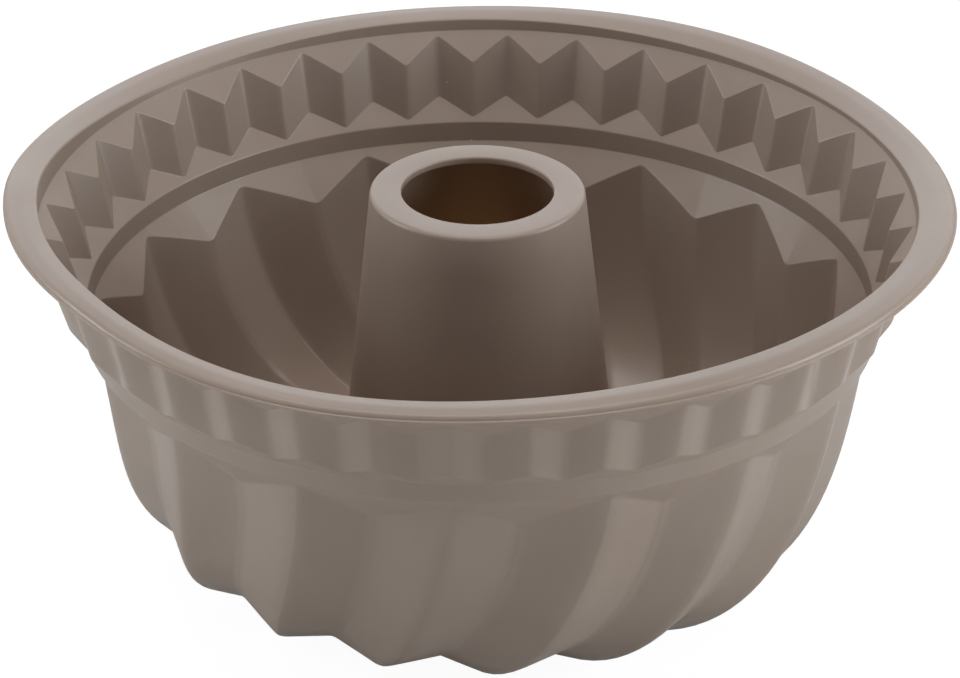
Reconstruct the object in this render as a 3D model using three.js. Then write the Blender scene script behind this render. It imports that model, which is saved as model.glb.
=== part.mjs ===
// Ring-cake mould made as one thin silicone wall: a flat rim flange, a collar of upright pleats,
// a plain step band, a bowl of leaning flutes and a hollow centre tube closed by a flat lip.
// Each of those sections is a body of its own, and a hair-wide seam parts it from the next.
// Millimetres, +Z up, the base at z = 0, the tube on the Z axis, the front towards -Y.
import * as THREE from 'three';

// Overall sizes
const RIM_DIAMETER = 240;
const RIM_HEIGHT = 100.7;
const TUBE_HEIGHT = 101.6;
const WALL = 2;
const SEAM = 0.3;

// Rim flange, rising a little from the mouth to its outer edge
const FLANGE_WIDTH = 8.8;
const FLANGE_RISE = 0.7;
const FLANGE_THICKNESS = 2.2;
const FLANGE_EDGE_RADIUS = 0.9;
const MOUTH_EDGE_RADIUS = 1.9;
const NECK_HEIGHT = 1.9;
const NECK_DRAFT = 1.2;

// Pleated collar, radial widths and drops measured on the cavity side
const PLEAT_COUNT = 36;
const PLEAT_PHASE = -6.2;
const PLEAT_ROOF_WIDTH = 6.4;
const PLEAT_ROOF_DROP = 6.9;
const PLEAT_HEIGHT = 16.8;
const PLEAT_DRAFT = 4.9;
const SHELF_WIDTH = 5.4;
const SHELF_DROP = 5.5;
const PLEAT_TIP_WIDTH = 1.4;
const PLEAT_LEDGE = 1.2;

// Plain band between the collar and the bowl
const BAND_HEIGHT = 5.2;
const BAND_DRAFT = 0.4;

// Fluted bowl: angles are clockwise seen from above, starting at the back
const FLUTE_COUNT = 16;
const FLUTE_PHASE = 4;
const RIDGE_LEAD = 1.1;
const WALL_TWIST = 22.2;
const TWIST_GROWTH = 1.65;
const FLOOR_TWIST = 9;
const FLUTE_ROOF_WIDTH = 7.9;
const FLUTE_ROOF_DROP = 10;
const FLUTE_LEDGE_WIDTH = 1.2;
const FLUTE_TIP_WIDTH = 3;
const WALL_LEAN = 9.7;
const WALL_FULLNESS = 0.5;
const CORNER_FULLNESS = 0.778;
const FLOOR_RADIUS = 58;
const FLOOR_LAND = 6;
const FLOOR_RIDGE_RISE = 4.8;
const FOOT_HEIGHT = 16;
const FOOT_FULLNESS = 0.55;

// Centre tube and its lip
const TUBE_TOP_RADIUS = 27.2;
const TUBE_FOOT_RADIUS = 36.3;
const LIP_THICKNESS = 2;
const LIP_EDGE_RADIUS = 1.2;
const HOLE_DIAMETER = 38.6;

// Largest share of a thickness that a rounded edge takes, on both of its sides or on one
const BOTH_SIDES_SHARE = 0.45;
const ONE_SIDE_SHARE = 0.9;

// Facet counts
const RING_COLUMNS = 96;
const TUBE_COLUMNS = 72;
const WALL_ROWS = 11;
const FLOOR_ROWS = 6;
const EDGE_ROWS = 2;

const FULL_TURN = 2 * Math.PI;
const radians = THREE.MathUtils.degToRad;

// A point of the wall section: radius from the axis and height above the base
function point(radius, height) {
  return new THREE.Vector2(radius, height);
}

function towards(from, to, distance) {
  return to.clone().sub(from).setLength(distance).add(from);
}

// The side of a stretch that faces away from the cavity
function outward(from, to) {
  const along = to.clone().sub(from).normalize();
  return point(-along.y, along.x);
}

// A line one wall thickness outside the given one, mitred at every corner
function outsideOf(line) {
  return line.map((corner, index) => {
    const before = line[Math.max(index - 1, 0)];
    const after = line[Math.min(index + 1, line.length - 1)];
    const first = index === 0 ? outward(corner, after) : outward(before, corner);
    const second = index === line.length - 1 ? first : outward(corner, after);
    const miter = first.clone().add(second);
    return miter.multiplyScalar(WALL / (1 + first.dot(second))).add(corner);
  });
}

// Points along a smooth curve whose two handles set how it leaves and arrives
function bend(start, startHandle, endHandle, end, rows) {
  return new THREE.CubicBezierCurve(start, startHandle, endHandle, end).getPoints(rows);
}

// Bowl wall: it leans in a little on its way down and rounds off into the level floor
function bowlWall(top, floor) {
  const handle = WALL_FULLNESS * (top.y - floor.y);
  const lean = radians(WALL_LEAN);
  const fall = point(top.x - handle * Math.sin(lean), top.y - handle * Math.cos(lean));
  const reach = point(floor.x + CORNER_FULLNESS * (top.x - floor.x), floor.y);
  return bend(top, fall, reach, floor, WALL_ROWS);
}

// Floor: level at first, then rising into the side of the tube
function troughFloor(start, foot, tubeTop) {
  const reach = point(start.x - FOOT_FULLNESS * (start.x - foot.x), start.y);
  const rise = towards(foot, tubeTop, -FOOT_FULLNESS * (foot.y - start.y));
  return bend(start, reach, rise, foot, FLOOR_ROWS);
}

// Corners of the cavity side, from the mouth of the rim down to the foot of the tube
const rimRadius = RIM_DIAMETER / 2;
const mouth = point(rimRadius - FLANGE_WIDTH, RIM_HEIGHT - FLANGE_RISE);
const neckBottom = point(mouth.x - NECK_DRAFT, mouth.y - FLANGE_THICKNESS - NECK_HEIGHT);
const pleatRidgeTop = point(neckBottom.x - PLEAT_ROOF_WIDTH, neckBottom.y - PLEAT_ROOF_DROP);
const pleatValleyTop = towards(neckBottom, pleatRidgeTop, PLEAT_LEDGE);
const pleatValleyFoot = point(neckBottom.x - PLEAT_DRAFT, neckBottom.y - PLEAT_HEIGHT);
const bandTop = point(pleatValleyFoot.x - SHELF_WIDTH, pleatValleyFoot.y - SHELF_DROP);
const pleatRidgeFoot = towards(bandTop, pleatValleyFoot, PLEAT_LEDGE);
const bandBottom = point(bandTop.x - BAND_DRAFT, bandTop.y - BAND_HEIGHT);
const fluteRidgeTop = point(bandBottom.x - FLUTE_ROOF_WIDTH, bandBottom.y - FLUTE_ROOF_DROP);
const fluteValleyTop = bandBottom.clone().lerp(fluteRidgeTop, FLUTE_LEDGE_WIDTH / FLUTE_ROOF_WIDTH);
const tubeFoot = point(TUBE_FOOT_RADIUS, FOOT_HEIGHT);
const tubeTop = point(TUBE_TOP_RADIUS, TUBE_HEIGHT - LIP_THICKNESS - SEAM);

// The two section lines that the wall swings between: through a valley and through a ridge
function cavityLine(pleatTop, pleatFoot, fluteTop, floorHeight) {
  const floorStart = point(FLOOR_RADIUS, floorHeight);
  const floorEnd = point(FLOOR_RADIUS - FLOOR_LAND, floorHeight);
  return [
    mouth,
    neckBottom,
    pleatTop,
    pleatFoot,
    bandTop,
    bandBottom,
    ...bowlWall(fluteTop, floorStart),
    ...troughFloor(floorEnd, tubeFoot, tubeTop),
    tubeTop,
  ];
}

const valley = cavityLine(pleatValleyTop, pleatValleyFoot, fluteValleyTop, WALL);
const ridge = cavityLine(pleatRidgeTop, pleatRidgeFoot, fluteRidgeTop, WALL + FLOOR_RIDGE_RISE);
const valleyOutside = outsideOf(valley);
const ridgeOutside = outsideOf(ridge);

// Where each section starts in those lines
const neckIndex = valley.indexOf(neckBottom);
const bandIndex = valley.indexOf(bandTop);
const bowlIndex = valley.indexOf(bandBottom);
const topIndex = valley.indexOf(tubeTop);
const footIndex = topIndex - 1;

// Share of the bowl wall that lies above a place of the lines
function wallShareAt(index) {
  return THREE.MathUtils.clamp((index - bowlIndex - 1) / WALL_ROWS, 0, 1);
}

// Flutes turn slowly under the band, faster towards the floor and on to the foot of the tube
function turnAt(index) {
  const rowsDown = Math.max(index - bowlIndex - 1, 0);
  const floorShare = Math.min(Math.max(rowsDown - WALL_ROWS, 0) / (FLOOR_ROWS + 1), 1);
  return radians(WALL_TWIST * wallShareAt(index) ** TWIST_GROWTH + FLOOR_TWIST * floorShare);
}

// Flute ridges start lower than valleys, so they have already turned a little at their tops
function leadAt(index) {
  return index < bowlIndex ? 0 : radians(RIDGE_LEAD * (1 - wallShareAt(index)));
}

// Closed section between two places of the lines, its upper end dropped by the seam
function wallSection(firstIndex, lastIndex) {
  const stations = [];
  const add = (valleyLine, ridgeLine, index) => {
    const next = Math.min(index + 1, valleyLine.length - 1);
    const drop = index === firstIndex ? SEAM : 0;
    stations.push({
      valley: towards(valleyLine[index], valleyLine[next], drop),
      ridge: towards(ridgeLine[index], ridgeLine[next], drop),
      turn: turnAt(index),
      lead: leadAt(index),
    });
  };
  for (let index = firstIndex; index <= lastIndex; index += 1) {
    add(valley, ridge, index);
  }
  for (let index = lastIndex; index >= firstIndex; index -= 1) {
    add(valleyOutside, ridgeOutside, index);
  }
  return stations;
}

// Columns of a zigzag ring: two beside each valley, two beside each ridge
function zigzagColumns(count, phase, tipWidth, radius) {
  const pitch = FULL_TURN / count;
  const tip = tipWidth / radius / 2;
  const columns = [];
  for (let index = 0; index < count; index += 1) {
    const centre = radians(phase) + index * pitch;
    columns.push({ angle: centre - tip, share: 0 });
    columns.push({ angle: centre + tip, share: 0 });
    columns.push({ angle: centre + pitch / 2 - tip, share: 1 });
    columns.push({ angle: centre + pitch / 2 + tip, share: 1 });
  }
  return columns;
}

// Ring solid that carries a closed section through every column
function ringSolid(stations, columns) {
  const positions = [];
  for (const column of columns) {
    for (const station of stations) {
      const place = station.valley.clone().lerp(station.ridge, column.share);
      const angle = column.angle + station.turn + station.lead * column.share;
      positions.push(place.x * Math.sin(angle), place.x * Math.cos(angle), place.y);
    }
  }
  const rows = stations.length;
  const faces = [];
  for (let column = 0; column < columns.length; column += 1) {
    const here = column * rows;
    const beside = ((column + 1) % columns.length) * rows;
    for (let row = 0; row < rows; row += 1) {
      const below = (row + 1) % rows;
      faces.push(here + row, here + below, beside + row);
      faces.push(beside + row, here + below, beside + below);
    }
  }
  const geometry = new THREE.BufferGeometry();
  geometry.setAttribute('position', new THREE.Float32BufferAttribute(positions, 3));
  geometry.setIndex(faces);
  geometry.computeVertexNormals();
  return geometry;
}

// Ring solid of a plain closed section, turned about the upright axis
function turnedSolid(outline, columns) {
  const closed = [...outline, outline[0]];
  return new THREE.LatheGeometry(closed, columns).rotateX(Math.PI / 2);
}

// Rounded corner of an outline between two angles in degrees
function roundedEdge(centre, radius, fromAngle, toAngle) {
  const path = new THREE.Path();
  path.absarc(centre.x, centre.y, radius, radians(fromAngle), radians(toAngle), true);
  return path.getPoints(EDGE_ROWS);
}

// Rim flange with its short neck
function rimFlange() {
  const edge = Math.min(FLANGE_EDGE_RADIUS, BOTH_SIDES_SHARE * FLANGE_THICKNESS);
  const inner = Math.min(MOUTH_EDGE_RADIUS, ONE_SIDE_SHARE * FLANGE_THICKNESS);
  const underside = RIM_HEIGHT - FLANGE_THICKNESS;
  const neckOutside = valleyOutside[neckIndex];
  const outline = [
    neckBottom,
    ...roundedEdge(point(mouth.x + inner, mouth.y - inner), inner, 180, 90),
    ...roundedEdge(point(rimRadius - edge, RIM_HEIGHT - edge), edge, 90, 0),
    ...roundedEdge(point(rimRadius - edge, underside + edge), edge, 0, -90),
    point(neckOutside.x, underside - FLANGE_RISE),
    neckOutside,
  ];
  return turnedSolid(outline.reverse(), RING_COLUMNS);
}

// Stretch of the wall where valley and ridge are one: the step band and the hollow tapered tube
function plainWall(firstIndex, lastIndex, columns) {
  const outline = wallSection(firstIndex, lastIndex).map((station) => station.valley);
  return turnedSolid(outline, columns);
}

// Flat ring that closes the tube down to its hole
function tubeLip() {
  const edge = Math.min(LIP_EDGE_RADIUS, ONE_SIDE_SHARE * LIP_THICKNESS);
  const underside = TUBE_HEIGHT - LIP_THICKNESS;
  const outline = [
    point(HOLE_DIAMETER / 2, underside),
    point(HOLE_DIAMETER / 2, TUBE_HEIGHT),
    ...roundedEdge(point(TUBE_TOP_RADIUS - edge, TUBE_HEIGHT - edge), edge, 90, 0),
    point(TUBE_TOP_RADIUS, underside),
  ];
  return turnedSolid(outline.reverse(), TUBE_COLUMNS);
}

const pleatColumns = zigzagColumns(PLEAT_COUNT, PLEAT_PHASE, PLEAT_TIP_WIDTH, neckBottom.x);
const fluteColumns = zigzagColumns(FLUTE_COUNT, FLUTE_PHASE, FLUTE_TIP_WIDTH, bandBottom.x);

const mould = new THREE.Group();
mould.name = 'bundt_mould';

function addSection(name, geometry) {
  const silicone = new THREE.MeshStandardMaterial({ color: 0x8c8279, roughness: 0.5, metalness: 0 });
  const section = new THREE.Mesh(geometry, silicone);
  section.name = name;
  mould.add(section);
}

addSection('rim_flange', rimFlange());
addSection('pleated_collar', ringSolid(wallSection(neckIndex, bandIndex), pleatColumns));
addSection('step_band', plainWall(bandIndex, bowlIndex, RING_COLUMNS));
addSection('fluted_bowl', ringSolid(wallSection(bowlIndex, footIndex), fluteColumns));
addSection('centre_tube', plainWall(footIndex, topIndex, TUBE_COLUMNS));
addSection('tube_lip', tubeLip());

export default mould;
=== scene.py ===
# %% [markdown]
# # A silicone ring-cake mould
# The real mould is one soft moulding: a flat rim, a collar of pleats, a plain band, a bowl of leaning
# flutes and a hollow tube up the middle. This lesson loads the packed CAD model as a fixed frame, then
# replaces its six faceted sections with one smooth skin, gives it a silicone finish and lights it.

# %% Load the packed model
from math import cos, pi, radians, sin, tau

import bmesh
import bpy
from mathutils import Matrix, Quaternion, Vector


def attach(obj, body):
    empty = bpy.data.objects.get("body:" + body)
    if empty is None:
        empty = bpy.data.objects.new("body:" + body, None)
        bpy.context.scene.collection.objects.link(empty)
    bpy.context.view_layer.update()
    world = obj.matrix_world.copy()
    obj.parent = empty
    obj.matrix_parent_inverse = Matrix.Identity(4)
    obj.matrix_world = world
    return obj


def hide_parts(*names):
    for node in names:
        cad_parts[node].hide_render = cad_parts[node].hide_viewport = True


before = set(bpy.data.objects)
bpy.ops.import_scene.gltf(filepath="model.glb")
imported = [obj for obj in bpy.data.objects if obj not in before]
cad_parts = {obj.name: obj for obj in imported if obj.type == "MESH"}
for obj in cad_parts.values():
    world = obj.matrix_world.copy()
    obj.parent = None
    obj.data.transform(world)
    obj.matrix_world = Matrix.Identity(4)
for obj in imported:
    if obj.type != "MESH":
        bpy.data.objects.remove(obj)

scene = bpy.context.scene
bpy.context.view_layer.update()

# %% [markdown]
# ## The camera
# The photograph was taken with a long lens, from the front and about 26 degrees above the rim. A long
# lens keeps the far rim nearly as wide as the near one. The camera stands where the ellipses of the rim
# and of the tube come out in the photograph's proportions, and it looks at a point inside the mould.

# %% Camera
VIEW_DISTANCE = 1.3182
VIEW_HEIGHT = radians(25.98)
RIM_CENTRE = Vector((0, 0, 0.0998))
AIM = Vector((-0.0001, 0, 0.0592))
ROLL = radians(0.1)
SENSOR_WIDTH = 36
IMAGE_WIDTH = 960
FOCAL_PIXELS = 5218.7

lens = bpy.data.cameras.new("long_lens")
lens.sensor_width = SENSOR_WIDTH
lens.lens = FOCAL_PIXELS / IMAGE_WIDTH * SENSOR_WIDTH
camera = bpy.data.objects.new("camera", lens)
camera.location = RIM_CENTRE + VIEW_DISTANCE * Vector((0, -cos(VIEW_HEIGHT), sin(VIEW_HEIGHT)))
level = (AIM - camera.location).to_track_quat("-Z", "Y")
camera.rotation_mode = "QUATERNION"
camera.rotation_quaternion = level @ Quaternion((0, 0, 1), ROLL)
scene.collection.objects.link(camera)
scene.camera = camera
print("lens", round(lens.lens, 1), "mm, camera at", tuple(round(v, 3) for v in camera.location))

# %% [markdown]
# ## The section of the wall
# Cut the mould through its axis and the wall shows as one long, thin loop. Where the cut runs along a
# valley of the pleats and flutes the loop lies furthest out, and along a ridge it lies furthest in.
# Everything between is a mix of the two. So the whole shape is a rule: two loops and a zigzag that
# swings between them. The loops could be drawn by hand, but corners given as radius and height, each
# with its own rounding, keep the sizes readable. All sizes here are in millimetres.

# %% Corners of the cavity side
TUBE_HEIGHT = 101.6
PLEAT_LEDGE = 1.2  # roof left above a pleat's valley, and shelf left below its ridge
FLUTE_LEDGE = 0.152  # share of a flute's roof left above its valley

mouth = Vector((111.2, 100.0))
neck_bottom = Vector((110.0, 95.9))
pleat_ridge_top = Vector((103.6, 89.0))
pleat_valley_foot = Vector((105.1, 79.1))
band_top = Vector((99.7, 73.6))
band_bottom = Vector((99.3, 68.4))
flute_ridge_top = Vector((91.4, 58.4))
flute_valley_top = band_bottom.lerp(flute_ridge_top, FLUTE_LEDGE)
tube_foot = Vector((36.3, 16.0))
tube_top = Vector((27.2, TUBE_HEIGHT))


def towards(start, end, distance):
    return start + (end - start).normalized() * distance


pleat_valley_top = towards(neck_bottom, pleat_ridge_top, PLEAT_LEDGE)
pleat_ridge_foot = towards(band_top, pleat_valley_foot, PLEAT_LEDGE)
print("pleats are", round(pleat_valley_top.x - pleat_ridge_top.x, 1), "mm deep at the top")

# %% [markdown]
# ## Smooth stretches
# The bowl wall and the floor of the trough bend without a crease. A cubic Bezier curve gives such a
# bend from its two ends and two handles, which say how the curve leaves and how it arrives.

# %% Bowl wall and trough floor
WALL_ROWS, WALL_LEAN = 26, radians(9.7)
WALL_FALL, WALL_REACH = 0.5, 0.778  # handles, as shares of the wall's height and width
FLOOR_ROWS, FLOOR_RADIUS, FLOOR_LAND = 13, 58.0, 6.0
FLOOR_HANDLE = 0.55


def bend(start, leave, arrive, end, rows):
    points = []
    for row in range(rows + 1):
        t = row / rows
        s = 1 - t
        points.append(s**3 * start + 3 * s * s * t * leave + 3 * s * t * t * arrive + t**3 * end)
    return points


def bowl_wall(top, floor_height):
    floor = Vector((FLOOR_RADIUS, floor_height))
    fall = WALL_FALL * (top.y - floor.y)
    leave = top + fall * Vector((-sin(WALL_LEAN), -cos(WALL_LEAN)))
    arrive = Vector((floor.x + WALL_REACH * (top.x - floor.x), floor.y))
    return bend(top, leave, arrive, floor, WALL_ROWS)


def trough_floor(floor_height):
    start = Vector((FLOOR_RADIUS - FLOOR_LAND, floor_height))
    leave = Vector((start.x - FLOOR_HANDLE * (start.x - tube_foot.x), start.y))
    arrive = towards(tube_foot, tube_top, -FLOOR_HANDLE * (tube_foot.y - start.y))
    return bend(start, leave, arrive, tube_foot, FLOOR_ROWS)


half_way = bowl_wall(flute_ridge_top, 0.0)[WALL_ROWS // 2]
print("half-way down, the bowl wall is", round(half_way.x, 1), "mm from the axis")

# %% [markdown]
# ## Corners
# A corner holds its place on the valley line and on the ridge line, how far it is rounded and in how
# many steps. It also carries how far it has turned round the axis, how far a ridge leads its valley,
# which zigzag it follows (1 for the pleats, 0 for the flutes), whether it swings at all, and how much of
# the zigzag's tips is rounded off. Where both lines meet, as on the plain band, the corner is a ring.

# %% Corners of the collar
PLAIN_TIPS, PLEAT_TIPS = (0.07, 0.07), (0.08, 0.08)


def corner(valley, ridge, rounding=0.0, steps=0, turn=0.0, lead=0.0,
           pleat=1.0, zigzag=0.0, tips=PLAIN_TIPS):
    return dict(valley=valley, ridge=ridge, rounding=rounding, steps=steps,
                turn=turn, lead=lead, pleat=pleat, zigzag=zigzag, tips=tips)


def ring(place, **values):
    return corner(place, place, **values)


collar = [
    ring(mouth, rounding=1.1, steps=6),
    ring(neck_bottom, rounding=0.8, steps=4),
    corner(pleat_valley_top, pleat_ridge_top, rounding=0.9, steps=5, zigzag=1, tips=PLEAT_TIPS),
    corner(pleat_valley_foot, pleat_ridge_foot, rounding=0.8, steps=5, zigzag=1, tips=PLEAT_TIPS),
    ring(band_top, rounding=0.9, steps=4),
    ring(band_bottom, rounding=0.8, steps=4, pleat=0),
]
print("corners in the collar", len(collar))

# %% [markdown]
# ## Leaning flutes
# The flutes start upright under the band, lean over more and more as they go down, and swirl on over
# the floor until they fade out at the foot of the tube. On the real mould this gives the cake its twist.
# Each row is simply turned a little further than the one above it, so no flute is drawn on its own.

# %% Corners of the bowl and the tube
WALL = 2.0
TIP_LOSS = 0.17  # what the rounded tips take off the lowest line, so that the skin still rests on z = 0
FLOOR_HEIGHT = WALL - TIP_LOSS
RIDGE_RISE = 4.8
RIDGE_HEIGHT = WALL + RIDGE_RISE
WALL_TWIST, TWIST_GROWTH, FLOOR_TWIST = 22.2, 1.65, 9.0
FULL_TWIST = WALL_TWIST + FLOOR_TWIST
RIDGE_LEAD = 1.1
FLUTE_TIPS = (0.09, 0.09)
FLUTE_EDGE = dict(rounding=1.4, steps=6)

bowl = []
wall_lines = zip(bowl_wall(flute_valley_top, FLOOR_HEIGHT), bowl_wall(flute_ridge_top, RIDGE_HEIGHT))
for row, (valley, ridge) in enumerate(wall_lines):
    done = row / WALL_ROWS
    edge = FLUTE_EDGE if row == 0 else {}
    bowl.append(corner(valley, ridge, **edge, turn=WALL_TWIST * done**TWIST_GROWTH,
                       lead=RIDGE_LEAD * (1 - done), pleat=0, zigzag=1, tips=FLUTE_TIPS))
floor_lines = zip(trough_floor(FLOOR_HEIGHT), trough_floor(RIDGE_HEIGHT))
for row, (valley, ridge) in enumerate(floor_lines):
    done = (row + 1) / (FLOOR_ROWS + 1)
    bowl.append(corner(valley, ridge, turn=WALL_TWIST + FLOOR_TWIST * done,
                       pleat=0, zigzag=1 - done, tips=FLUTE_TIPS))
tube = [ring(tube_top, rounding=1.3, steps=6, turn=FULL_TWIST, pleat=0)]
cavity_side = collar + bowl + tube
print("corners on the cavity side", len(cavity_side))

# %% [markdown]
# ## The outer side
# The wall is equally thick everywhere, so the outer side is the cavity side moved out by that thickness.
# A rounding that is tight inside comes out wide outside, and the outer tips are broader too.

# %% Move a line out by the wall's thickness
SAME_PLACE = 1e-6


def outer_side(line):
    moved = []
    for index, place in enumerate(line):
        before = line[max(index - 1, 0)]
        after = line[min(index + 1, len(line) - 1)]
        normals = []
        for a, b in ((before, place), (place, after)):
            if (b - a).length > SAME_PLACE:
                along = (b - a).normalized()
                normals.append(Vector((-along.y, along.x)))
        first, second = normals[0], normals[-1]
        moved.append(place + (first + second) * (WALL / (1 + first.dot(second))))
    return moved


tube_outside = outer_side([tube_foot, tube_top])
print("a straight line moves out by", round((tube_outside[0] - tube_foot).length, 2), "mm")

# %% Corners of the outer side
OUTER_PLEAT_TIPS = (0.34, 0.2)
OUTER_FLUTE_TIPS, OUTER_TIPS_LOST = (0.2, 0.13), (0.13, 0.08)
OUTER_FLUTE_EDGE = 4.0


def outer_corners(cavity, roundings, left_out):
    valleys = outer_side([c["valley"] for c in cavity])
    ridges = outer_side([c["ridge"] for c in cavity])
    made = []
    for index, c in enumerate(cavity):
        if index in left_out:
            continue
        rounding, tips = roundings.get(index, (c["rounding"], c["tips"]))
        made.append(dict(c, valley=valleys[index], ridge=ridges[index], rounding=rounding, tips=tips))
    return made[::-1]


# By corner, from the bottom of the neck to the bottom of the band
outer_roundings = {
    1: (1.0, PLEAT_TIPS),
    2: (1.8, OUTER_PLEAT_TIPS),
    3: (1.8, OUTER_PLEAT_TIPS),
    4: (1.0, PLEAT_TIPS),
    5: (1.6, PLEAT_TIPS),
}
bowl_start = len(collar)
for index in range(bowl_start, bowl_start + len(bowl)):
    depth = min((index - bowl_start) / WALL_ROWS, 1) ** 2
    tips = tuple(tip - lost * depth for tip, lost in zip(OUTER_FLUTE_TIPS, OUTER_TIPS_LOST))
    outer_roundings[index] = (OUTER_FLUTE_EDGE if index == bowl_start else 0, tips)
# The wide outer edge of the flutes needs the room of two rows. The ends give way to the rim and the lip.
room = (bowl_start + 1, bowl_start + 2)
outside = outer_corners(cavity_side, outer_roundings, room)[1:-1]
print("corners on the outer side", len(outside))

# %% [markdown]
# ## Lip and rim
# Over the top of the tube lies a flat lip with a round hole. The flange ends in a quarter-round edge,
# and just below it runs the fine raised line where the two halves of the mould tool met. That line
# stands only half a millimetre proud, yet it shows as a pale thread along the real rim.

# %% Lip of the tube
LIP_THICKNESS, HOLE_RADIUS = 2.0, 19.3
lip_under = TUBE_HEIGHT - LIP_THICKNESS
on_tube_top = dict(steps=3, turn=FULL_TWIST, pleat=0)
lip = [
    ring(Vector((HOLE_RADIUS, TUBE_HEIGHT)), rounding=0.5, **on_tube_top),
    ring(Vector((HOLE_RADIUS, lip_under)), rounding=0.5, **on_tube_top),
    ring(tube_top - Vector((WALL, LIP_THICKNESS)), rounding=0.6, **on_tube_top),
]
print("the hole is", 2 * HOLE_RADIUS, "mm wide")

# %% Edge of the rim
RIM_RADIUS, RIM_HEIGHT, FLANGE_THICKNESS = 120.0, 100.7, 2.2
LINE_PROUD, LINE_MIDDLE, LINE_HALF = 0.55, 98.82, 0.28
LINE_SHAPE = ((-LINE_HALF, 0), (-0.2, 1), (0.1, 1), (0.16, 0.9), (0.26, 0))  # height and share proud
EDGE_WIDE, EDGE_HIGH, EDGE_TILTS = 1.5, 1.2, range(0, 91, 18)
CROWN_RADIUS, CROWN_DROP = 115.5, 0.1

edge_radius = RIM_RADIUS - LINE_PROUD
flange_under = mouth.y - FLANGE_THICKNESS
neck_top = Vector((outside[-1]["valley"].x, flange_under))
rim_bottom = Vector((edge_radius, RIM_HEIGHT - FLANGE_THICKNESS))
rim = [ring(neck_top, rounding=1.0, steps=4), ring(rim_bottom, rounding=0.3, steps=3)]
for up, proud in LINE_SHAPE:
    rim.append(ring(Vector((RIM_RADIUS - LINE_PROUD * (1 - proud), LINE_MIDDLE + up))))
edge_middle = Vector((edge_radius - EDGE_WIDE, LINE_MIDDLE + LINE_HALF))
for tilt in map(radians, EDGE_TILTS):
    rim.append(ring(edge_middle + Vector((EDGE_WIDE * cos(tilt), EDGE_HIGH * sin(tilt)))))
rim.append(ring(Vector((CROWN_RADIUS, RIM_HEIGHT - CROWN_DROP)), rounding=30, steps=4))
loop = cavity_side + lip + outside + rim
print("corners in the whole loop", len(loop))

# %% [markdown]
# ## Rounding the corners
# Each corner becomes a few rows on a small arc, because a moulded edge is never sharp and a rounded edge
# is what catches the light. An arc starts the same distance before and after the sharp corner, so it
# touches both sides, and where two corners lie close together it is cut down to fit between them. Both
# lines get the same rows, so row for row they can be mixed. Each row also notes how much of the sag it
# takes part in: soft for the rim, spread for the collar and lean for the tube.

# %% Round one corner
MOST_OF_A_SIDE = 0.42


def arc(before, place, after, rounding, steps):
    if not steps:
        return [place.copy()]
    back, ahead = before - place, after - place
    opening = back.angle(ahead)
    reach = rounding / abs(sin(opening / 2)) * abs(cos(opening / 2))
    reach = min(reach, MOST_OF_A_SIDE * back.length, MOST_OF_A_SIDE * ahead.length)
    start, end = place + back.normalized() * reach, place + ahead.normalized() * reach
    points = []
    for step in range(steps + 1):
        t = step / steps
        points.append((1 - t) ** 2 * start + 2 * t * (1 - t) * place + t * t * end)
    return points


mouth_arc = arc(neck_bottom, mouth, rim[-1]["valley"], collar[0]["rounding"], collar[0]["steps"])
print("rows round the edge of the mouth", len(mouth_arc))

# %% Rows of the loop
LOST_AT_MOUTH = 0.85


def climbed(place, low, high):
    return min(max((place.y - low) / (high - low), 0), 1)


def collar_share(place):
    held = 1 - LOST_AT_MOUTH * climbed(place, neck_bottom.y, mouth.y)
    return climbed(place, band_bottom.y, neck_bottom.y) * held


outer_start = len(cavity_side) + len(lip)
inner_neck, outer_neck = (neck_bottom.y, mouth.y), (outside[-1]["valley"].y, flange_under)
rows = []
for index, c in enumerate(loop):
    before, after = loop[index - 1], loop[(index + 1) % len(loop)]
    neck = outer_neck if index >= outer_start else inner_neck
    lines = [arc(before[line], c[line], after[line], c["rounding"], c["steps"])
             for line in ("valley", "ridge")]
    for valley, ridge in zip(*lines):
        on_tube = valley.x < tube_foot.x
        rows.append(dict(c, valley=valley, ridge=ridge,
                         soft=0 if on_tube else climbed(valley, *neck),
                         lean=climbed(valley, tube_foot.y, TUBE_HEIGHT) if on_tube else 0,
                         spread=0 if on_tube else collar_share(valley)))
print("rows in the loop", len(rows))

# %% [markdown]
# ## The section as data
# The valley line becomes a line of vertices, one for each row, and all other values of a row become
# attributes on its vertex. Geometry Nodes can then read the whole section by row number.

# %% Write the rows as a line of vertices
MM = 0.001
section = bpy.data.meshes.new("wall_section")
section.from_pydata([(row["valley"].x * MM, 0, row["valley"].y * MM) for row in rows],
                    [(index, (index + 1) % len(rows)) for index in range(len(rows))], [])
row_values = {
    "ridge_radius": [row["ridge"].x * MM for row in rows],
    "ridge_height": [row["ridge"].y * MM for row in rows],
    "turn": [radians(row["turn"]) for row in rows],
    "lead": [radians(row["lead"]) for row in rows],
    "valley_tip": [row["tips"][0] for row in rows],
    "ridge_tip": [row["tips"][1] for row in rows],
}
for name in ("pleat", "zigzag", "soft", "lean", "spread"):
    row_values[name] = [row[name] for row in rows]
for name, values in row_values.items():
    section.attributes.new(name, "FLOAT", "POINT").data.foreach_set("value", values)
print("vertices", len(section.vertices), "with", len(row_values), "values each")

# %% [markdown]
# ## Writing node formulas
# A formula in Geometry Nodes is a chain of Math nodes, which is hard to read in a script. This small
# class lets the script write plain arithmetic instead: each operation adds one Math node and wires it.

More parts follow.
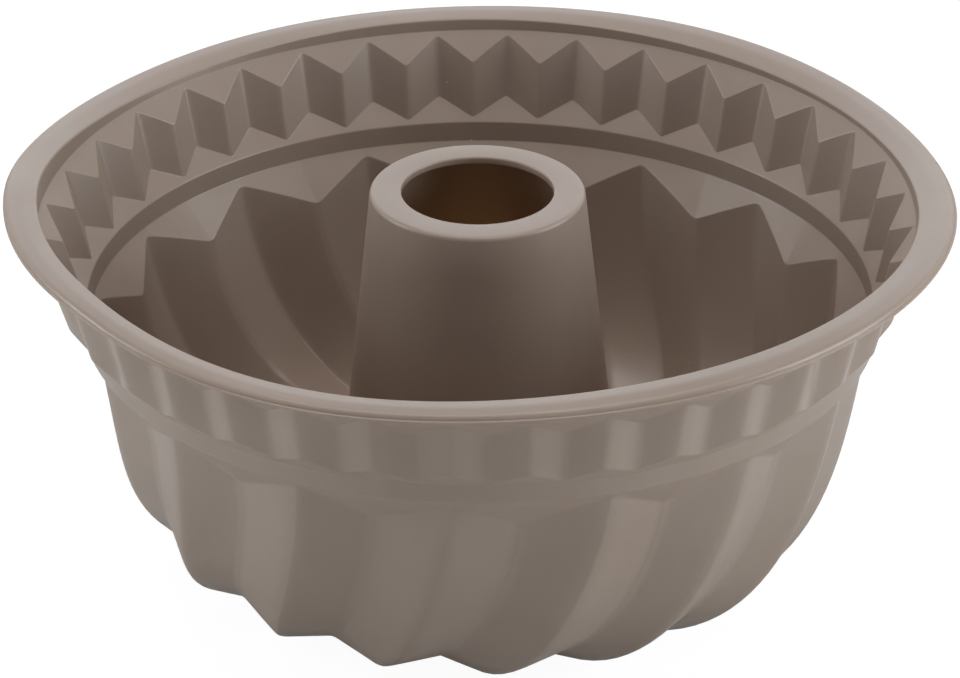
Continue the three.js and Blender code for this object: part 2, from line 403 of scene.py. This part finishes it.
# %% Numbers that the nodes work out
class Number:
    def __init__(self, tree, socket):
        self.tree, self.socket = tree, socket

    def step(self, operation, *others):
        node = self.tree.nodes.new("ShaderNodeMath")
        node.operation = operation
        for place, value in enumerate((self, *others)):
            if isinstance(value, Number):
                self.tree.links.new(value.socket, node.inputs[place])
            else:
                node.inputs[place].default_value = value
        return Number(self.tree, node.outputs[0])

    def __add__(self, other):
        return self.step("ADD", other)

    def __sub__(self, other):
        return self.step("SUBTRACT", other)

    def __mul__(self, other):
        return self.step("MULTIPLY", other)

    def __truediv__(self, other):
        return self.step("DIVIDE", other)

    def mix(self, other, share):
        return self + (other - self) * share

    def one_minus(self):
        return self * -1.0 + 1.0

    def above_zero(self):
        return self.step("MAXIMUM", 0.0)


print("besides + - * / a Number has", [name for name in vars(Number) if name[0] != "_"])

# %% [markdown]
# ## The skin as a rule
# The tree makes a plain grid: one side counts rows of the loop, the other counts columns round the axis.
# Every vertex reads its row from the section, finds its place in the zigzag from its column, mixes
# valley and ridge, and moves there. Merging the doubled edges closes the skin both ways. A rule keeps
# the counts of pleats and flutes, and the size of every bend, as inputs that can be changed later.

# %% Inputs of the tree
tree = bpy.data.node_groups.new("mould_skin", "GeometryNodeTree")
tree_inputs = {
    "Section": "Geometry", "Columns": "Int",
    "Pleats": "Float", "Pleat Start": "Float", "Flutes": "Float", "Flute Start": "Float",
    "Rim Wave": "Float", "Tube Lean": "Float", "Collar Dents": "Float",
    "Silicone": "Material",
}
for name, kind in tree_inputs.items():
    tree.interface.new_socket(name, in_out="INPUT", socket_type="NodeSocket" + kind)
tree.interface.new_socket("Skin", in_out="OUTPUT", socket_type="NodeSocketGeometry")
entry = tree.nodes.new("NodeGroupInput")
exit_node = tree.nodes.new("NodeGroupOutput")


def add(kind, **settings):
    node = tree.nodes.new(kind)
    for name, value in settings.items():
        setattr(node, name, value)
    return node


def number(socket):
    return Number(tree, socket)


def given(name):
    return number(entry.outputs[name])


def plug(value, socket):
    tree.links.new(value.socket if isinstance(value, Number) else value, socket)


print("inputs", list(tree_inputs))

# %% A grid of rows and columns
HALF_A_ROW = 0.5  # keeps rounding from dropping a vertex into the column before

row_count = add("GeometryNodeAttributeDomainSize", component="MESH")
plug(entry.outputs["Section"], row_count.inputs[0])
rows_round = number(row_count.outputs["Point Count"])
columns = given("Columns")
grid = add("GeometryNodeMeshGrid")
plug(columns + 1, grid.inputs["Vertices X"])
plug(rows_round + 1, grid.inputs["Vertices Y"])
vertex = number(add("GeometryNodeInputIndex").outputs[0])
own_column = ((vertex + HALF_A_ROW) / (rows_round + 1)).step("FLOOR")
own_row = (vertex - own_column * (rows_round + 1)).step("MODULO", rows_round)
print("nodes so far", len(tree.nodes))


# %% Read the section for each row
def read_row(name=None):
    kind = "FLOAT" if name else "FLOAT_VECTOR"
    sample = add("GeometryNodeSampleIndex", data_type=kind, domain="POINT")
    plug(entry.outputs["Section"], sample.inputs["Geometry"])
    if name:
        field = add("GeometryNodeInputNamedAttribute", data_type="FLOAT")
        field.inputs["Name"].default_value = name
    else:
        field = add("GeometryNodeInputPosition")
    plug(field.outputs[0], sample.inputs["Value"])
    plug(own_row, sample.inputs["Index"])
    return sample.outputs[0]


valley_place = add("ShaderNodeSeparateXYZ")
plug(read_row(), valley_place.inputs[0])
valley_radius, valley_height = number(valley_place.outputs["X"]), number(valley_place.outputs["Z"])
value = {name: number(read_row(name)) for name in row_values}
print("values read for each vertex", len(value) + 2)

# %% [markdown]
# ## The zigzag
# Pleats and flutes are the same thing twice: a share that climbs from 0 in a valley to 1 on a ridge and
# falls again. Columns spread evenly would miss the tips, so a curve crowds them together there, where
# the surface turns, and spreads them out over the flat faces.

# %% Place in the zigzag, for the pleats and for the flutes
CROWDING = ((1 / 6, 0.05), (2 / 6, 0.16), (0.5, 0.5), (4 / 6, 0.84), (5 / 6, 0.95))
NUDGE = 0.0001  # keeps a column that lies on a valley out of the unit before


def zigzag(count, start):
    along = (own_column + NUDGE) * count / columns
    unit = along.step("FLOOR")
    part = along - unit
    even = (part * 2.0 - 1.0).step("ABSOLUTE").one_minus()
    curve = add("ShaderNodeFloatCurve")
    points = curve.mapping.curves[0].points
    for place, height in CROWDING:
        points.new(place, height)
    for point in points:
        point.handle_type = "VECTOR"
    curve.mapping.update()
    plug(even, curve.inputs["Value"])
    crowded = number(curve.outputs[0])
    side = (part - 0.5).step("SIGN")
    place = side * (crowded * -0.5 + 0.5) + 0.5
    return crowded, (unit + place) * tau / count + start


pleat_share, pleat_angle = zigzag(given("Pleats"), given("Pleat Start"))
flute_share, flute_angle = zigzag(given("Flutes"), given("Flute Start"))
on_pleats = value["pleat"]
share = flute_share.mix(pleat_share, on_pleats)
angle = flute_angle.mix(pleat_angle, on_pleats) + value["turn"] + value["lead"] * share
count = given("Flutes").mix(given("Pleats"), on_pleats)
print("nodes so far", len(tree.nodes))

# %% [markdown]
# ## Rounded tips and flat faces
# A zigzag has sharp tips, and moulded silicone hasn't. Close to a tip the share is bent over as a small
# parabola. And a face that is straight from valley to ridge in angle would bulge, so its middle is
# drawn in by what a flat chord needs.

# %% Radius and height as moulded
valley_tip, ridge_tip = value["valley_tip"], value["ridge_tip"]
near_valley = (valley_tip - share).above_zero()
near_ridge = (share + ridge_tip - 1.0).above_zero()
swing = (share + near_valley * near_valley / (valley_tip * 2.0)
         - near_ridge * near_ridge / (ridge_tip * 2.0))
mixed_radius = valley_radius.mix(value["ridge_radius"], swing)
height = valley_height.mix(value["ridge_height"], swing)
chord = count.step("POWER", -1.0) * (pi / 2)
sagitta = chord.step("COSINE").one_minus() * 4.0 * share * share.one_minus()
radius = mixed_radius - mixed_radius * sagitta * value["zigzag"]
print("nodes so far", len(tree.nodes))

# %% [markdown]
# ## How soft silicone sags
# The real mould is limp, so it never stands quite true. Its rim rises and falls by a few millimetres
# and tips in or out, its mouth is drawn in a little, the collar is pushed out at the left and the tube
# leans slightly. The bends could be sculpted by hand. A few cosines round the rim and three soft dents
# in the collar do it with less, and they stay smooth. The rim's highest place is capped, so that the
# visible skin stays close to the solids.

# %% Sag of the rim and the collar
# Waves: turns round the rim, millimetres, degrees from the back to the crest, clockwise from above
RIM_WAVE = ((0, 0.47, 0), (1, 1.94, 201), (2, 0.53, 273), (3, 1.79, 13), (4, 0.64, 348), (5, 0.3, 328))
RIM_SLOPE = ((0, 0.27, 0), (1, 0.58, 337), (2, 0.44, 50), (3, 0.22, 58), (4, 0.31, 39), (5, 0.33, 34))
MOUTH_INSET = ((0, 0.55, 0), (1, 0.85, 30), (3, -0.2, 0))
HIGHEST_LIFT, LIFT_SOFTNESS = 3.7, 1.0
# Dents: degrees to the middle, width in degrees, millimetres outwards and upwards
COLLAR_DENTS = ((266, 25, 2.0, -1.2), (68, 24, -0.2, 0.6), (10, 30, 0.0, 0.7))
LOST_AT_RIM = 0.8


def waves(parts):
    total = angle * 0.0
    for turns, high, peak in parts:
        total = total + ((angle - radians(peak)) * turns).step("COSINE") * high
    return total


outward = ((radius - mouth.x * MM) / ((RIM_RADIUS - mouth.x) * MM)).above_zero()
free_lift = waves(RIM_WAVE) + waves(RIM_SLOPE) * outward
lift = free_lift.step("SMOOTH_MIN", HIGHEST_LIFT, LIFT_SOFTNESS)
bent = value["soft"] * given("Rim Wave")
height = height + lift * bent
radius = radius - waves(MOUTH_INSET) * bent * outward.one_minus()
for middle, width, out, up in COLLAR_DENTS:
    turned_away = (angle - radians(middle)).step("COSINE") - 1.0
    near = (turned_away * (2 / radians(width) ** 2)).step("EXPONENT")
    dent = near * value["spread"] * given("Collar Dents")
    radius = radius + dent * out * (outward * -LOST_AT_RIM + 1.0)
    height = height + dent * up
print("nodes so far", len(tree.nodes))

# %% [markdown]
# ## Closing the skin
# The last row and column of the grid lie on the first ones, so merging them makes one closed skin, as
# the real wall has no seam. Smooth shading, realized instances and the material end the tree.

# %% Close the skin and end the tree
MERGE_DISTANCE = 0.000004

place = add("ShaderNodeCombineXYZ")
plug(radius * angle.step("SINE") + value["lean"] * given("Tube Lean"), place.inputs["X"])
plug(radius * angle.step("COSINE"), place.inputs["Y"])
plug(height, place.inputs["Z"])
set_position = add("GeometryNodeSetPosition")
plug(grid.outputs["Mesh"], set_position.inputs["Geometry"])
plug(place.outputs[0], set_position.inputs["Position"])
merge = add("GeometryNodeMergeByDistance")
merge.inputs["Distance"].default_value = MERGE_DISTANCE
plug(set_position.outputs[0], merge.inputs["Geometry"])
smooth = add("GeometryNodeSetShadeSmooth")
plug(merge.outputs[0], smooth.inputs[0])
realize = add("GeometryNodeRealizeInstances")
plug(smooth.outputs[0], realize.inputs[0])
finish = add("GeometryNodeSetMaterial")
plug(realize.outputs[0], finish.inputs["Geometry"])
plug(entry.outputs["Silicone"], finish.inputs["Material"])
plug(finish.outputs[0], exit_node.inputs["Skin"])
print("nodes in the tree", len(tree.nodes))

# %% [markdown]
# ## Silicone
# Bakeware silicone is a satin rubber: a warm grey-brown, a soft and wide highlight, and edges that let a
# little light through. Close up it is never quite even. It carries a faint cloudiness from mixing, a
# fine skin from the sanded mould tool, and a few pale specks of dust, which cling to silicone. All of it
# is worked out from the place on the object, so it needs no unwrapping and no picture.

# %% Body of the silicone
silicone = bpy.data.materials.new("taupe_silicone")
silicone.use_nodes = True
nodes, links = silicone.node_tree.nodes, silicone.node_tree.links
shader = nodes["Principled BSDF"]
shader.inputs["Specular IOR Level"].default_value = 0.6
shader.inputs["IOR"].default_value = 1.41
shader.inputs["Subsurface Weight"].default_value = 0.3
shader.inputs["Subsurface Scale"].default_value = 0.0025
shader.inputs["Subsurface Radius"].default_value = (1.0, 0.75, 0.6)
spot = nodes.new("ShaderNodeTexCoord")


def noise(scale, detail):
    node = nodes.new("ShaderNodeTexNoise")
    node.inputs["Scale"].default_value = scale
    node.inputs["Detail"].default_value = detail
    links.new(spot.outputs["Object"], node.inputs["Vector"])
    return node.outputs["Fac"]


def ramp(source, *stops):
    node = nodes.new("ShaderNodeValToRGB")
    for element, (position, colour) in zip(node.color_ramp.elements, stops):
        element.position = position
        element.color = (*colour, 1)
    links.new(source, node.inputs["Fac"])
    return node.outputs["Color"]


print("index of refraction", round(shader.inputs["IOR"].default_value, 2))

# %% Clouding and dust
BLACK, WHITE = (0, 0, 0), (1, 1, 1)
DARK_CLOUD, PALE_CLOUD = (0.298, 0.221, 0.175), (0.324, 0.244, 0.196)
DUST = (0.55, 0.52, 0.49, 1)
CLOUD_SCALE, SPECK_SCALE, PATCH_SCALE = 26, 90, 11

cloud = ramp(noise(CLOUD_SCALE, 4), (0.3, DARK_CLOUD), (0.7, PALE_CLOUD))
cells = nodes.new("ShaderNodeTexVoronoi")
cells.inputs["Scale"].default_value = SPECK_SCALE
cells.inputs["Randomness"].default_value = 1
links.new(spot.outputs["Object"], cells.inputs["Vector"])
speck = ramp(cells.outputs["Distance"], (0.0, WHITE), (0.035, BLACK))
patch = ramp(noise(PATCH_SCALE, 1), (0.55, BLACK), (0.62, WHITE))
both = nodes.new("ShaderNodeMath")
both.operation = "MULTIPLY"
links.new(speck, both.inputs[0])
links.new(patch, both.inputs[1])
dusty = nodes.new("ShaderNodeMix")
dusty.data_type = "RGBA"
dusty.inputs["B"].default_value = DUST
links.new(both.outputs[0], dusty.inputs["Factor"])
links.new(cloud, dusty.inputs["A"])
links.new(dusty.outputs["Result"], shader.inputs["Base Color"])
print("specks of dust lie in cells about", round(1000 / SPECK_SCALE), "mm wide")

# %% Sheen and fine skin
SMOOTH, ROUGH = (0.30, 0.30, 0.30), (0.37, 0.37, 0.37)
SHEEN_SCALE, GRAIN_SCALE = 55, 1400
GRAIN_STRENGTH, GRAIN_HEIGHT = 0.12, 0.0002

links.new(ramp(noise(SHEEN_SCALE, 3), (0.3, SMOOTH), (0.7, ROUGH)), shader.inputs["Roughness"])
grain = nodes.new("ShaderNodeBump")
grain.inputs["Strength"].default_value = GRAIN_STRENGTH
grain.inputs["Distance"].default_value = GRAIN_HEIGHT
links.new(noise(GRAIN_SCALE, 2), grain.inputs["Height"])
links.new(grain.outputs[0], shader.inputs["Normal"])
print("silicone nodes", len(nodes))

# %% [markdown]
# ## Making the skin
# The rule now gets its numbers. The result is kept as a plain mesh, as a casting is kept once the tool
# has been opened, and the line of vertices that it grew from is thrown away.

# %% Make the skin
COLUMNS = 432
PLEATS, PLEAT_START = 36, 3.8
FLUTES, FLUTE_START = 16, 4.0
TUBE_LEAN = -0.8
settings = {
    "Columns": COLUMNS, "Pleats": float(PLEATS), "Pleat Start": radians(PLEAT_START),
    "Flutes": float(FLUTES), "Flute Start": radians(FLUTE_START), "Rim Wave": MM,
    "Tube Lean": TUBE_LEAN * MM, "Collar Dents": MM, "Silicone": silicone,
}

draft = bpy.data.objects.new("wall_section", section)
scene.collection.objects.link(draft)
modifier = draft.modifiers.new("skin", "NODES")
modifier.node_group = tree
for item in tree.interface.items_tree:
    if item.in_out == "INPUT" and item.name in settings:
        modifier[item.identifier] = settings[item.name]
grown = draft.evaluated_get(bpy.context.evaluated_depsgraph_get())
skin = bpy.data.meshes.new_from_object(grown)
bpy.data.objects.remove(draft)
mould = bpy.data.objects.new("mould_wall", skin)
scene.collection.objects.link(mould)
print("vertices in the skin", len(skin.vertices))

# %% [markdown]
# ## Which way the faces point
# A closed skin has an inside and an outside, and shading, thickness and export all rely on the faces
# pointing out. The sum of the volumes under all faces tells: it is negative when they point in.

# %% Turn the faces outwards
work = bmesh.new()
work.from_mesh(skin)
volume = work.calc_volume(signed=True)
if volume < 0:
    bmesh.ops.reverse_faces(work, faces=work.faces)
open_edges = sum(not edge.is_manifold for edge in work.edges)
work.to_mesh(skin)
work.free()
skin.update()
print("faces", len(skin.polygons), "volume in ml", round(abs(volume) * 1e6, 1), "open edges", open_edges)

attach(mould, "root")
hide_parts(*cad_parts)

# %% [markdown]
# ## The floor
# The photograph has a plain white ground. A pale sheet under the mould throws light back up under the
# flutes. Lit paper alone would come out grey in places, so most of what the camera sees of it is an even
# glow, and the rest keeps a trace of soft shadow.

# %% Floor
FLOOR_HALF = 3.0
PAPER_WHITE = (0.86, 0.86, 0.86, 1)
PAPER_GLOW, GLOW_SHARE = 1.12, 0.85

floor_mesh = bpy.data.meshes.new("floor")
floor_mesh.from_pydata([(-FLOOR_HALF, -FLOOR_HALF, 0), (FLOOR_HALF, -FLOOR_HALF, 0),
                        (FLOOR_HALF, FLOOR_HALF, 0), (-FLOOR_HALF, FLOOR_HALF, 0)], [], [(0, 1, 2, 3)])
floor = bpy.data.objects.new("floor", floor_mesh)
scene.collection.objects.link(floor)
paper = bpy.data.materials.new("white_paper")
paper.use_nodes = True
paper_nodes, paper_links = paper.node_tree.nodes, paper.node_tree.links
sheet = paper_nodes["Principled BSDF"]
sheet.inputs["Base Color"].default_value = PAPER_WHITE
sheet.inputs["Roughness"].default_value = 0.9
glow = paper_nodes.new("ShaderNodeEmission")
glow.inputs["Strength"].default_value = PAPER_GLOW
ray = paper_nodes.new("ShaderNodeLightPath")
seen_glow = paper_nodes.new("ShaderNodeMath")
seen_glow.operation = "MULTIPLY"
seen_glow.inputs[1].default_value = GLOW_SHARE
blend = paper_nodes.new("ShaderNodeMixShader")
paper_links.new(ray.outputs["Is Camera Ray"], seen_glow.inputs[0])
paper_links.new(seen_glow.outputs[0], blend.inputs["Fac"])
paper_links.new(sheet.outputs[0], blend.inputs[1])
paper_links.new(glow.outputs[0], blend.inputs[2])
paper_links.new(blend.outputs[0], paper_nodes["Material Output"].inputs["Surface"])
floor_mesh.materials.append(paper)
print("floor is", 2 * FLOOR_HALF, "m wide")

# %% [markdown]
# ## Surroundings
# The studio round the mould is white to the camera and in reflections, but gives hardly any light of its
# own, so that the shadows inside the trough stay deep.

# %% Surroundings
AMBIENT = 0.07

scene.view_settings.view_transform = "Standard"
world = bpy.data.worlds.new("studio")
scene.world = world
world.use_nodes = True
sky_nodes, sky_links = world.node_tree.nodes, world.node_tree.links
sky = sky_nodes["Background"]
sky.inputs["Color"].default_value = (1, 1, 1, 1)
sky_ray = sky_nodes.new("ShaderNodeLightPath")
white_for = sky_ray.outputs["Is Camera Ray"]
for name in ("Is Glossy Ray", "Is Transmission Ray"):
    either = sky_nodes.new("ShaderNodeMath")
    either.operation = "MAXIMUM"
    sky_links.new(white_for, either.inputs[0])
    sky_links.new(sky_ray.outputs[name], either.inputs[1])
    white_for = either.outputs[0]
strength = sky_nodes.new("ShaderNodeMapRange")
strength.inputs["To Min"].default_value = AMBIENT
strength.inputs["To Max"].default_value = 1.0
sky_links.new(white_for, strength.inputs["Value"])
sky_links.new(strength.outputs[0], sky.inputs["Strength"])
print("light from all round", AMBIENT)

# %% [markdown]
# ## Lamps
# The photograph is lit softly from above and from both sides, with the side towards the camera left in
# shade. Five softboxes stand for that. The hollow of the real tube glows amber, because its wall lets
# some red light through. A skin that did so would tint every thin edge, so a very weak lamp low in the
# tube does it instead.

# %% Softboxes
COOL = (0.9, 1.015, 1.07)
# Name, place, aim and size in metres, power in watts, tint
LAMPS = (
    ("overhead", (0, 0.05, 1.4), (0, 0, 0.05), (1.3, 1.0), 11.5, (1, 1, 1)),
    ("behind", (0, 1.3, 0.75), (0, 0, 0.08), (1.7, 0.8), 3.4, (0.87, 1, 1.13)),
    ("left", (-1.25, 0.0, 0.32), (0, 0, 0.05), (0.7, 0.9), 9.4, COOL),
    ("right", (1.25, -0.15, 0.32), (0, 0, 0.05), (0.7, 0.9), 12.3, COOL),
    ("front", (0, -1.4, 0.16), (0, 0, 0.07), (1.8, 0.2), 2.7, COOL),
    ("tube_glow", (0, 0, 0.03), (0, 0, 0.1), (0.03, 0.03), 0.0032, (1, 0.5, 0.12)),
)
for name, stand, aim, size, power, tint in LAMPS:
    lamp = bpy.data.lights.new(name, "AREA")
    lamp.shape = "RECTANGLE"
    lamp.size, lamp.size_y = size
    lamp.energy = power
    lamp.color = tint
    box = bpy.data.objects.new(name, lamp)
    box.location = stand
    box.rotation_mode = "QUATERNION"
    box.rotation_quaternion = (Vector(aim) - Vector(stand)).to_track_quat("-Z", "Y")
    scene.collection.objects.link(box)

# %% [markdown]
# ## Sizes
# The box of what is seen should lie close to the box of the solids. The sagging rim reaches about 2.5
# mm above the top of the solids.
